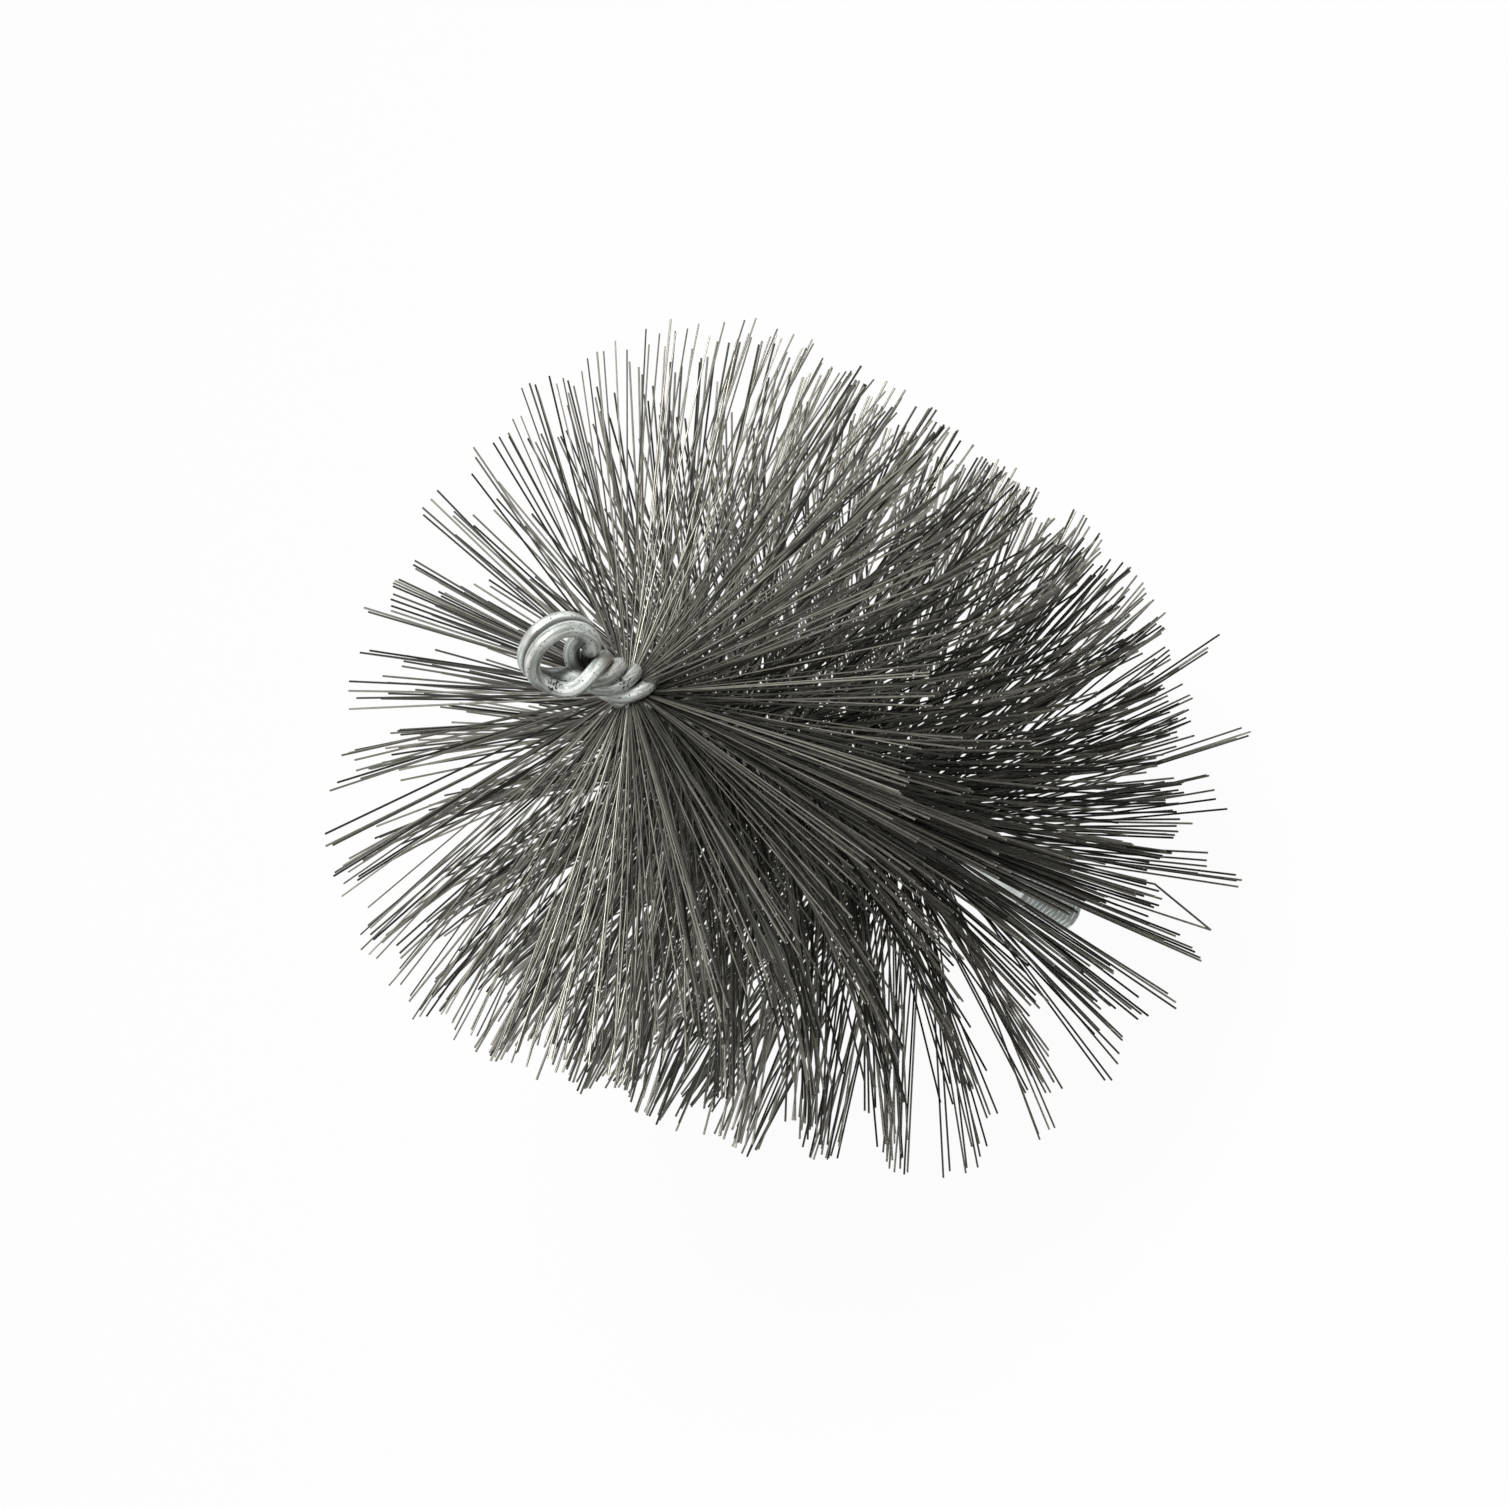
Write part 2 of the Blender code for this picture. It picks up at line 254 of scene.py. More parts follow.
class MaterialGraph(Graph):
    """Graph of a material with one Principled shader."""

    def __init__(self, name: str) -> None:
        """Make an empty material.

        Args:
            name: The material's name.
        """
        self.material = bpy.data.materials.new(name)
        self.material.use_nodes = True
        super().__init__(self.material.node_tree)

    def place(self) -> Signal:
        """Object coordinates."""
        return self.signal("ShaderNodeTexCoord", output="Object")

    def attribute(self, name: str, output: str) -> Signal:
        """Attribute that the mesh carries."""
        return self.signal("ShaderNodeAttribute", output=output, attribute_name=name)

    def noise(self, place: Signal, grain: Grain) -> Signal:
        """Noise from 0 to 1, which is read at a place that the grain stretches."""
        place = self.signal("ShaderNodeMapping", {"Vector": place, "Scale": grain.stretch})
        return self.signal("ShaderNodeTexNoise", {"Vector": place, "Scale": grain.scale,
                                                  "Detail": grain.octaves,
                                                  "Roughness": grain.falloff}, "Fac")

    def nearness(self, point: Point, reach: float) -> Signal:
        """One at a point of the object, and zero beyond a reach from it."""
        inputs = {0: self.place(), 1: point}
        return self.signal("ShaderNodeVectorMath", inputs, 1,
                           operation="DISTANCE").faded((0.0, reach))

    def blended(self, share: Any, first: Any, second: Any) -> Signal:
        """Blend of two colours, by the share of the second one."""
        return self.signal("ShaderNodeMix", {0: share, 6: first, 7: second}, 2,
                           data_type="RGBA", clamp_factor=True)

    def bump(self, height: Signal, depth: float, strength: float) -> Signal:
        """Normal that is tilted by a height from 0 to 1, which stands for the given depth."""
        inputs = {"Height": height, "Distance": depth, "Strength": strength}
        return self.signal("ShaderNodeBump", inputs)

    def finish(self, inputs: dict[str, Any]) -> bpy.types.Material:
        """Close the material with its shader.

        Args:
            inputs: Values or signals of the Principled shader.

        Returns:
            The material.
        """
        shader = self.signal("ShaderNodeBsdfPrincipled", inputs)
        self.node("ShaderNodeOutputMaterial", {"Surface": shader})
        return self.material


@dataclass(frozen=True)
class GalvanisedFinish:
    """Hot-dip zinc on drawn wire: satin, streaked along the wire, with painted shade in the
    crevices where the wires meet.
    """

    light: Colour = (0.86, 0.885, 0.85, 1.0)
    dull: Colour = (0.29, 0.335, 0.315, 1.0)
    stain: Colour = (0.20, 0.155, 0.105, 1.0)
    # Dark colour of the scuffs and scratches, and of the painted shade in the crevices where
    # wires meet.
    dirt_and_shade: Colour = (0.035, 0.036, 0.032, 1.0)
    streaks: Grain = Grain(1.0, 3.0, stretch=(1700, 1700, 110))
    scratches: Grain = Grain(1.0, 2.0, stretch=(3600, 3600, 150))
    mottle: Grain = Grain(420.0, 3.0, 0.55, (1, 1, 0.4))
    specks: Grain = Grain(2200.0, 2.0)
    dulled_streaks: Span = (0.45, 0.60)
    dulled_mottle: Span = (0.44, 0.62)
    streak_share: float = 0.7
    stained_mottle: Span = (0.50, 0.66)
    mottle_staining: float = 0.35
    stained_place: Point = (0.0030, -0.0016, 0.1484)
    stained_reach: float = 0.0046
    place_staining: float = 0.7
    most_staining: float = 0.75
    scuffed_places: tuple[Point, ...] = ((-0.0046, -0.0024, 0.1556), (0.0020, -0.0035, 0.1440))
    scuffed_reach: float = 0.0024
    scuffing: float = 0.18
    dark_specks: Span = (0.45, 0.50)
    dark_scratches: Span = (0.60, 0.72)
    scratch_dirt: float = 0.5
    # Strength of the painted shade where wires meet.
    crevice_shade: float = 0.8
    twist_crevice: Span = (0.0024, 0.0033)
    eye_crevice: Span = (0.0002, 0.0009)
    neck: Span = (0.1505, 0.1525)
    metallic: float = 0.25
    # Less metallic and rougher under the scuffs, scratches and painted crevice shade.
    dirt_and_shade_cover: float = 0.2
    roughness: float = 0.34
    dull_roughness: float = 0.14
    dirt_and_shade_roughness: float = 0.2
    streak_relief: float = 0.6
    other_relief: float = 0.2
    relief_depth: float = 0.00014
    relief_strength: float = 0.9

    def material(self) -> bpy.types.Material:
        """Make the material, which reads the straightened wire's own coordinates.

        Returns:
            The material.
        """
        graph = MaterialGraph("galvanised_wire")
        wire_place = graph.attribute("wire_place", "Vector")
        streaks = graph.noise(wire_place, self.streaks)
        scratches = graph.noise(wire_place, self.scratches)
        mottle = graph.noise(wire_place, self.mottle)
        specks = graph.noise(graph.place(), self.specks)
        dulling = (streaks.ramped(self.dulled_streaks) * self.streak_share
                   + mottle.ramped(self.dulled_mottle) * (1 - self.streak_share))
        colour = graph.blended(dulling, self.light, self.dull)
        staining = (mottle.ramped(self.stained_mottle) * self.mottle_staining
                    + graph.nearness(self.stained_place, self.stained_reach)
                    * self.place_staining)
        colour = graph.blended(staining.least(self.most_staining), colour, self.stain)
        scuffed, *others = [graph.nearness(place, self.scuffed_reach)
                            for place in self.scuffed_places]
        for other in others:
            scuffed = scuffed.most(other)
        scuffs = (specks + (scuffed - 1.0) * self.scuffing).ramped(self.dark_specks)
        scoring = scratches.ramped(self.dark_scratches) * self.scratch_dirt
        # Dark marks: scuffs and scratches, plus painted shade in the crevices where wires meet.
        dirt_and_shade = scuffs.most(scoring).most(self._painted_crevice_shade(graph) * self.crevice_shade)
        colour = graph.blended(dirt_and_shade, colour, self.dirt_and_shade)
        roughness = self.roughness + dulling * self.dull_roughness + dirt_and_shade * self.dirt_and_shade_roughness
        relief = streaks * self.streak_relief + (mottle + scratches) * self.other_relief
        normal = graph.bump(relief, self.relief_depth, self.relief_strength)
        return graph.finish({"Base Color": colour, "Roughness": roughness, "Normal": normal,
                             "Metallic": self.metallic - dirt_and_shade * self.dirt_and_shade_cover})

    def _painted_crevice_shade(self, graph: MaterialGraph) -> Signal:
        """Painted shade: one where two wires meet, in the twist or between the loops of the eye.

        Args:
            graph: Material that reads it.

        Returns:
            The share of painted shade there.
        """
        across, along, height = graph.parts(graph.place())
        in_twist = across.hypotenuse(along).faded(self.twist_crevice)
        in_eye = abs(along).faded(self.eye_crevice)
        above = height.ramped(self.neck)
        return in_twist * (1.0 - above) + in_eye * above


@dataclass(frozen=True)
class BristleFinish:
    """Drawn spring steel: dark and dull, each wire a different tone, and the light wires partly a
    painted highlight.
    """

    dark: Colour = (0.019, 0.019, 0.015, 1.0)
    # Cream of the lightest wires: partly their own tone, partly a painted highlight along them.
    light: Colour = (0.36, 0.349, 0.30, 1.0)
    grain: Grain = Grain(700.0, 2.0, 0.55)
    least_lightness: float = 0.6
    grain_lightness: float = 0.8
    tone_and_highlight_power: float = 1.9
    metallic: float = 0.85
    roughness: float = 0.25
    grain_roughness: float = 0.16

    def material(self) -> bpy.types.Material:
        """Make the material, which reads each bristle's own tone, whose light end is partly a
        painted highlight.

        Returns:
            The material.
        """
        graph = MaterialGraph("bristle_steel")
        tone_and_highlight = graph.attribute("tone_and_highlight", "Fac")
        grain = graph.noise(graph.place(), self.grain)
        # Random tone of each wire; the few light ones stand partly for painted highlights.
        lightness = tone_and_highlight ** self.tone_and_highlight_power * (grain * self.grain_lightness
                                                 + self.least_lightness)
        return graph.finish({"Base Color": graph.blended(lightness, self.dark, self.light),
                             "Metallic": self.metallic,
                             "Roughness": self.roughness + grain * self.grain_roughness})


@dataclass(frozen=True)
class ZincPlateFinish:
    """Bright zinc plating on turned steel, with painted shade in the roots of the thread."""

    bright: Colour = (0.74, 0.78, 0.765, 1.0)
    dull: Colour = (0.52, 0.565, 0.55, 1.0)
    # Colour of the painted shade in the thread's roots.
    root: Colour = (0.25, 0.265, 0.26, 1.0)
    marks: Grain = Grain(5200.0, 2.0, 0.6)
    clouds: Grain = Grain(260.0, 4.0, 0.6)
    dulled: Span = (0.40, 0.62)
    mark_share: float = 0.35
    thread_flank: Span = (0.00415, 0.0049)
    stud_top: float = 0.0215
    stud_end: Span = (0.0002, 0.0009)
    # Strength of the painted shade in the thread's roots.
    root_darkness: float = 0.8
    metallic: float = 0.9
    roughness: float = 0.24
    dull_roughness: float = 0.14
    relief_depth: float = 0.00002
    relief_strength: float = 0.7

    def material(self) -> bpy.types.Material:
        """Make the material, with turning marks round the fitting's axis and painted shade in the
        thread's roots.

        Returns:
            The material.
        """
        graph = MaterialGraph("zinc_plated_steel")
        across, along, height = graph.parts(graph.place())
        radius = across.hypotenuse(along)
        marks = graph.noise(graph.vector(radius, height), self.marks)
        clouds = graph.noise(graph.place(), self.clouds)
        dulling = marks * self.mark_share + clouds * (1 - self.mark_share)
        dulling = dulling.ramped(self.dulled)
        colour = graph.blended(dulling, self.bright, self.dull)
        # Painted shade in the roots of the thread, on the stud only.
        painted_root_shade = (radius.faded(self.thread_flank) * height.below(self.stud_top)
                  * height.ramped(self.stud_end))
        colour = graph.blended(painted_root_shade * self.root_darkness, colour, self.root)
        normal = graph.bump((marks + clouds) * 0.5, self.relief_depth, self.relief_strength)
        return graph.finish({"Base Color": colour, "Metallic": self.metallic, "Normal": normal,
                             "Roughness": self.roughness + dulling * self.dull_roughness})


class GeometryGraph(Graph):
    """Geometry Nodes tree with named inputs, which dresses one object and is then applied."""

    def __init__(self, name: str) -> None:
        """Make an empty tree that takes and gives geometry.

        Args:
            name: The tree's name.
        """
        super().__init__(bpy.data.node_groups.new(name, "GeometryNodeTree"))
        for way in ("OUTPUT", "INPUT"):
            self.tree.interface.new_socket("Geometry", in_out=way,
                                           socket_type="NodeSocketGeometry")
        self.values: dict[str, Any] = {}

    def declare(self, values: dict[str, Any]) -> dict[str, Signal]:
        """Give the tree its named inputs.

        Args:
            values: Each input's name and value. A material, whole number or length is told
                by its type.

        Returns:
            A signal for each name, and the incoming geometry under the name Geometry.
        """
        kinds = {int: "NodeSocketInt", float: "NodeSocketFloat"}
        for name, value in values.items():
            kind = kinds.get(type(value), "NodeSocketMaterial")
            made = self.tree.interface.new_socket(name, in_out="INPUT", socket_type=kind)
            self.values[made.identifier] = value
        entry = self.node("NodeGroupInput")
        return {name: Signal(self, entry.outputs[name]) for name in ["Geometry", *values]}

    def random(self, span: Span, key: Signal, draw: Draw) -> Signal:
        """Even random number for each key, from a range."""
        inputs = {2: span[0], 3: span[1], "ID": key, "Seed": draw.value}
        return self.signal("FunctionNodeRandomValue", inputs, 1, data_type="FLOAT")

    def scattered(self, spread: float, key: Signal, draw: Draw) -> Signal:
        """Random number for each key, up to a spread on both sides of zero."""
        return self.random((-spread, spread), key, draw)

    def stored(self, geometry: Signal, name: str, value: Signal, kind: str) -> Signal:
        """Geometry whose points carry a named attribute of the given data type."""
        inputs = {"Geometry": geometry, "Name": name, "Value": value}
        return self.signal("GeometryNodeStoreNamedAttribute", inputs, data_type=kind,
                           domain="POINT")

    def named(self, name: str, kind: str) -> Signal:
        """Named attribute of the geometry, of the given data type."""
        return self.signal("GeometryNodeInputNamedAttribute", {"Name": name}, data_type=kind)

    def joined(self, *parts: Signal) -> Signal:
        """Join geometries in the given order.

        Args:
            *parts: The geometries.

        Returns:
            All of them as one.
        """
        join = self.node("GeometryNodeJoinGeometry")
        for part in parts:
            self.tree.links.new(part.socket, join.inputs[0])
        return Signal(self, join.outputs[0])

    def close(self, geometry: Signal, material: Signal) -> None:
        """End the tree in plain geometry of one material.

        Args:
            geometry: Geometry or instances.
            material: Their finish.
        """
        real = self.signal("GeometryNodeRealizeInstances", {"Geometry": geometry})
        dressed = self.signal("GeometryNodeSetMaterial",
                              {"Geometry": real, "Material": material})
        self.node("NodeGroupOutput", {0: dressed})

    def applied(self, name: str, data: bpy.types.ID) -> bpy.types.Object:
        """Run the tree on some data and keep the result as a plain mesh.

        Args:
            name: Name of the piece.
            data: Mesh or curve that the tree starts from.

        Returns:
            The piece, without its modifier.
        """
        source = placed(f"{name}_source", data)
        modifier = source.modifiers.new("shape", "NODES")
        modifier.node_group = self.tree
        for identifier, value in self.values.items():
            modifier[identifier] = value
        depsgraph = bpy.context.evaluated_depsgraph_get()
        mesh = bpy.data.meshes.new_from_object(source.evaluated_get(depsgraph),
                                               preserve_all_data_layers=True,
                                               depsgraph=depsgraph)
        bpy.data.objects.remove(source)
        mesh.name = name
        return placed(name, mesh)


@dataclass(frozen=True)
class Twist:
    """Left-hand twist of four legs, tightest below the eye and open where bristles are."""

    eye_side_lead: float = 0.0155
    lead: float = 0.020
    eye_side_radius: float = 0.002642
    filled_radius: float = 0.002865
    bore_side_radius: float = 0.002268
    foot: float = 0.0268
    bristle_bottom: float = 0.047
    bristle_top: float = 0.139
    taper_length: float = 0.003
    start_height: float = 0.153597

    def angle(self, height: float) -> float:
        """Turn of the twist, which is none at its start and grows downwards.

        Args:
            height: Height along the stem.

        Returns:
            The turn there, in radians.
        """
        taper_top = self.bristle_top + self.taper_length
        tight_rate = math.tau / self.eye_side_lead
        open_rate = math.tau / self.lead
        tapered = min(max((taper_top - height) / self.taper_length, 0.0), 1.0)
        tight_turn = tight_rate * (self.start_height - max(height, taper_top))
        mean_rate = tight_rate + (open_rate - tight_rate) * tapered / 2
        open_turn = open_rate * max(self.bristle_top - height, 0.0)
        return tight_turn + mean_rate * tapered * self.taper_length + open_turn

    def radius(self, height: float) -> float:
        """Radius of the circle that the legs' centre lines lie on.

        Args:
            height: Height along the stem.

        Returns:
            The radius there.
        """
        above = height > self.bristle_top
        end_radius = self.eye_side_radius if above else self.bore_side_radius
        outside = height - self.bristle_top if above else self.bristle_bottom - height
        change = (end_radius - self.filled_radius) * eased(outside / self.taper_length)
        return self.filled_radius + change

    def leg_point(self, start_angle: float, height: float) -> Vector:
        """Point on a leg's centre line, for the leg that starts at the given angle."""
        turn, radius = start_angle + self.angle(height), self.radius(height)
        return Vector((radius * math.cos(turn), radius * math.sin(turn), height))

    def leg_direction(self, start_angle: float, height: float) -> Vector:
        """Upward direction of a leg above the bristles.

        Args:
            start_angle: Angle that the leg starts at.
            height: Height along the stem.

        Returns:
            The direction, of unit length.
        """
        turn = start_angle + self.angle(height) - math.pi / 2
        sideways = Vector((math.cos(turn), math.sin(turn), 0)) * self.eye_side_radius
        return (sideways * math.tau / self.eye_side_lead + Vector((0, 0, 1))).normalized()


@dataclass(frozen=True)
class Bend:
    """Bend of a wire from the top of a leg to the loop of the eye."""

    leg_start_angle: float
    loop_angle: float
    depth_share: float
    pull_shares: tuple[float, float]
    way: int


@dataclass(frozen=True)
class TwistedStem:
    """Two folded wires that are twisted together and form the double eye."""

    twist: Twist = Twist()
    wire_diameter: float = 0.0028
    eye_height: float = 0.1573
    loop_radius: float = 0.00575
    leading: Bend = Bend(math.pi / 4, math.radians(1.5), 1.45, (2.44, 2.335), 1)
    trailing: Bend = Bend(3 * math.pi / 4, math.radians(185), 1.134, (1.754, 1.364), -1)
    step_length: float = 0.0005
    bend_steps: int = 26
    loop_steps: int = 64
    sides: int = 20
    grain_offset: float = 0.3

    def loop_point(self, angle: float) -> Vector:
        """Point on the loop of the first wire.

        Args:
            angle: Way round the loop, from X to Z.

        Returns:
            The point.
        """
        across = self.loop_radius * math.cos(angle)
        height = self.eye_height + self.loop_radius * math.sin(angle)
        return Vector((across, self.wire_diameter / 2, height))

    def leg_top(self, bend: Bend) -> float:
        """Height at which a leg leaves the twist."""
        return self.eye_height - self.loop_radius * bend.depth_share

    def leg_points(self, bend: Bend) -> list[Vector]:
        """Centre line of a leg, from its foot in the bore to its bend.

        Args:
            bend: The bend that it ends in.

        Returns:
            Points along it.
        """
        foot = self.twist.foot
        length = self.leg_top(bend) - foot
        steps = round(length / self.step_length)
        return [self.twist.leg_point(bend.leg_start_angle, foot + length * step / steps)
                for step in range(steps + 1)]

    def bend_points(self, bend: Bend) -> list[Vector]:
        """Centre line of a bend, from the top of its leg to the loop.

        Args:
            bend: The bend.

        Returns:
            Points along it, without the first, which the leg has.
        """
        top = self.leg_top(bend)
        leg_end = self.twist.leg_point(bend.leg_start_angle, top)
        loop_end = self.loop_point(bend.loop_angle)
        rise = Vector((-math.sin(bend.loop_angle), 0, math.cos(bend.loop_angle))) * bend.way
        span = (loop_end - leg_end).length / 3
        leg_pull = self.twist.leg_direction(bend.leg_start_angle, top) * bend.pull_shares[1]
        return interpolate_bezier(leg_end, leg_end + leg_pull * span,
                                  loop_end - rise * span * bend.pull_shares[0], loop_end,
                                  self.bend_steps + 1)[1:]

    def centre_line(self, wire: StemWire) -> list[Vector]:
        """Centre line of a whole wire, from foot to foot over the eye.

        Args:
            wire: Which of the two wires.

        Returns:
            Points along it.
        """
        points = self.leg_points(self.leading) + self.bend_points(self.leading)
        turn = self.trailing.loop_angle - self.leading.loop_angle
        points += [self.loop_point(self.leading.loop_angle + turn * step / self.loop_steps)
                   for step in range(1, self.loop_steps)]
        points += reversed(self.bend_points(self.trailing))
        points += reversed(self.leg_points(self.trailing))
        half_turn = Matrix.Rotation(math.pi * wire.value, 3, "Z")
        return [half_turn @ point for point in points]

    def build(self, wire: StemWire, material: bpy.types.Material) -> bpy.types.Object:
        """Sweep one wire along its centre line.

        Args:
            wire: Which of the two wires.
            material: Its finish.

        Returns:
            The wire as a plain mesh that carries its straightened coordinates.
        """
        name = f"stem_wire_drawn_{wire.name.lower()}"
        points = self.centre_line(wire)
        curve = bpy.data.curves.new(name, "CURVE")
        curve.dimensions = "3D"
        spline = curve.splines.new("POLY")
        spline.points.add(len(points) - 1)
        for spline_point, point in zip(spline.points, points):
            spline_point.co = (*point, 1.0)
        graph = GeometryGraph(name)
        given = graph.declare({"Wire Diameter": self.wire_diameter, "Sides": self.sides,
                               "Length Offset": self.grain_offset * wire.value,
                               "Material": material})
        travelled = graph.signal("GeometryNodeSplineParameter", output="Length")
        path = graph.stored(given["Geometry"], "travelled", travelled + given["Length Offset"],
                            "FLOAT")
        circle = graph.signal("GeometryNodeCurvePrimitiveCircle",
                              {"Resolution": given["Sides"],
                               "Radius": given["Wire Diameter"] * 0.5}, mode="RADIUS")
        position = graph.signal("GeometryNodeInputPosition")
        section = graph.stored(circle, "section", position, "FLOAT_VECTOR")
        swept = graph.signal("GeometryNodeCurveToMesh",
                             {"Curve": path, "Profile Curve": section, "Fill Caps": True})
        along = graph.vector(0.0, 0.0, graph.named("travelled", "FLOAT"))
        place = graph.signal("ShaderNodeVectorMath",
                             {0: graph.named("section", "FLOAT_VECTOR"), 1: along},
                             operation="ADD")
        dressed = graph.stored(swept, "wire_place", place, "FLOAT_VECTOR")
        graph.close(dressed, given["Material"])
        piece = graph.applied(name, curve)
        piece.data.shade_smooth()
        return piece


@dataclass(frozen=True)
class Strand:
    """One stray bristle, straight from its root to its tip."""

    root: Vector
    tip: Vector
    slimming: float = 0.0
    # Least tone, which the front fans raise as painted light.
    painted_front_light: float = 0.0


@dataclass(frozen=True)
class Tuft:
    """Bristles that stand out of the field side by side, straight from the stem."""

    height: float
    azimuth: float
    lean: float
    count: int
    reach: float = 0.0695
    height_spread: float = 0.0012
    angle_spread: float = 0.8
    lean_spread: float = 0.5
    slimming: float = 0.0
    # Least tone, which the front fans raise as painted light.
    painted_front_light: float = 0.0
    jostle: float = 0.7
    least_length: float = 0.94

    def strands(self, rng: random.Random) -> list[Strand]:
        """Make the bristles. The azimuth, the lean and their spreads are in degrees.

        Args:
            rng: Source of the random draws.

        Returns:
            The bristles.
        """
        strands = []
        for number in range(self.count):
            root = Vector((0, 0, self.height + rng.uniform(-1, 1) * self.height_spread))
            place = (2 * number + 1 + rng.uniform(-1, 1) * self.jostle) / self.count - 1
            turn = math.radians(self.azimuth + place * self.angle_spread)
            lean = math.radians(self.lean + rng.uniform(-1, 1) * self.lean_spread)
            outward = Vector((math.cos(turn), math.sin(turn), math.tan(lean))).normalized()
            tip = root + outward * self.reach * rng.uniform(self.least_length, 1.0)
            strands.append(Strand(root, tip, self.slimming, self.painted_front_light))
        return strands


@dataclass(frozen=True)
class BristleField:
    """Bristles of the whole brush, which leave the twist in four helical rows."""

    twist: Twist = Twist()
    reach: float = 0.0697
    root_radius: float = 0.0014
    wire_diameter: float = 0.00040
    spacing: float = 0.000224
    layer_drops: tuple[float, float] = (0.004, 0.0)
    front_lean: float = math.radians(3)
    group_size: float = 3.6
    gathering: float = 0.70
    group_swing: float = math.radians(2.4)
    own_swing: float = math.radians(0.8)
    group_tilt: float = math.radians(2.2)
    own_tilt: float = math.radians(0.8)
    group_shortfall: float = 0.0065
    group_shortfall_power: float = 1.7
    own_shortfall: float = 0.0035
    own_shortfall_power: float = 3.0
    raggedness: float = 1.6
    bow: float = 0.0012
    parting: float = math.radians(287)
    parting_width: float = math.radians(17)
    parting_push: float = math.radians(4.2)
    parting_top: float = 0.086
    trimmed_side: float = math.radians(333)
    trimmed_width: float = math.radians(34)
    trimmed_share: float = 0.085
    trimmed_fade: float = 1.6
    trimmed_top: float = 0.074
    sides: int = 6
    segments: int = 3
    seed: int = 7
    layer_seeds: int = 50
    group_seeds: int = 1000
    own_seeds: int = 10000
    tone_and_highlight_step: float = 0.618
    tufts: tuple[Tuft, ...] = tuple(Tuft(*row) for row in (
        (0.137, 146, 5.2, 2), (0.137, 139, 2.5, 3), (0.137, 156, 6.4, 3), (0.137, 161, 5.2, 3),
        (0.137, 116, 4.7, 2), (0.137, 122, 1.7, 3), (0.137, 44, 3.0, 1), (0.137, 106, -0.2, 3),
        (0.137, 110, 1.4, 4), (0.137, 114, 0.8, 1), (0.125, 132, 1.8, 4), (0.125, 124, -0.3, 3),
        (0.110, 124, 4.3, 4), (0.050, 346, -6.3, 4), (0.050, 328, -5.9, 4),
        (0.050, 315, -2.9, 1), (0.049, 304, -4.6, 5), (0.050, 291, -3.0, 4),
        (0.050, 283, -3.0, 3), (0.056, 279, -2.0, 4), (0.067, 278, -1.0, 4),
        (0.068, 302, -1.0, 5), (0.069, 295, -1.0, 5), (0.069, 283, -1.0, 4),
        (0.078, 292, -1.0, 5), (0.088, 288, -1.0, 6),
        # Front fans: slimmer, and lighter as painted light.
        (0.1386, 21, 2.6, 46, 0.0690, 0.0005, 57, 2.2, 0.25, 0.25),
        (0.1384, 214, 2.6, 48, 0.0690, 0.0005, 56, 2.2, 0.25, 0.25),
        (0.1350, 302, 2.4, 40, 0.0690, 0.0010, 42, 2.2, 0.25, 0.25),
        (0.1344, 10, 2.4, 26, 0.0690, 0.0006, 40, 2.6, 0.25, 0.25),
        (0.1344, 222, 2.4, 26, 0.0690, 0.0006, 40, 2.6, 0.25, 0.25),
        (0.0640, 336, -1.0, 64, 0.0640, 0.0090, 26, 2.5),
        (0.1120, 196, 0.5, 56, 0.0650, 0.0140, 26, 2.5, 0.1)))
    bent: tuple[Point, ...] = ((0, 0, 0.052), (0.0276, -0.0475, 0.0489),
                               (0.0290, -0.0612, 0.0458))

    def build(self, layer: Layer, material: bpy.types.Material) -> bpy.types.Object:
        """Grow the two rows of one layer.

        Args:
            layer: Which of the two layers.
            material: The bristles' finish.

        Returns:
            The layer as one plain mesh.
        """
        top = self.twist.bristle_top - self.layer_drops[layer.value]
        graph = GeometryGraph(f"bristles_{layer.name.lower()}")
        given = graph.declare({
            "Spacing": self.spacing, "Bottom": self.twist.bristle_bottom, "Top": top,
            "Turn Rate": math.tau / self.twist.lead, "Top Angle": self.twist.angle(top),
            "Row Angle": layer.value * math.pi / 2, "Reach": self.reach,
            "Front Lean": self.front_lean, "Root Radius": self.root_radius,
            "Wire Diameter": self.wire_diameter, "Group Size": self.group_size,
            "Parting": self.parting, "Parting Width": self.parting_width,
            "Parting Push": self.parting_push, "Parting Top": self.parting_top,
            "Trimmed Side": self.trimmed_side, "Trimmed Width": self.trimmed_width,
            "Trimmed Share": self.trimmed_share, "Trimmed Top": self.trimmed_top,
            "Seed": self.seed + self.layer_seeds * layer.value, "Material": material})
        roots = graph.joined(self._rows(graph, given), given["Geometry"])
        aim = graph.named("aim", "FLOAT_VECTOR")
        length = graph.signal("ShaderNodeVectorMath", {0: aim}, 1, operation="LENGTH")
        turned = graph.signal("FunctionNodeAlignRotationToVector", {"Vector": aim}, axis="X")
        half = given["Wire Diameter"] * (1.0 - graph.named("slimming", "FLOAT")) * 0.5
        grown = graph.signal("GeometryNodeInstanceOnPoints",
                             {"Points": roots, "Instance": self._strand(graph),
                              "Rotation": turned, "Scale": graph.vector(length, half, half)})
        real = graph.signal("GeometryNodeRealizeInstances", {"Geometry": grown})
        inputs = {0: graph.named("sway", "FLOAT_VECTOR"),
                  "Scale": graph.named("along", "FLOAT") ** 2.0}
        offset = graph.signal("ShaderNodeVectorMath", inputs, operation="SCALE")
        bowed = graph.signal("GeometryNodeSetPosition", {"Geometry": real, "Offset": offset})
        graph.close(bowed, given["Material"])
        strays = self._strays() if layer is Layer.ACROSS_EYE else []
        piece = graph.applied(f"bristle_layer_{layer.name.lower()}", self._roots(strays))
        piece.data.shade_smooth()
        return piece

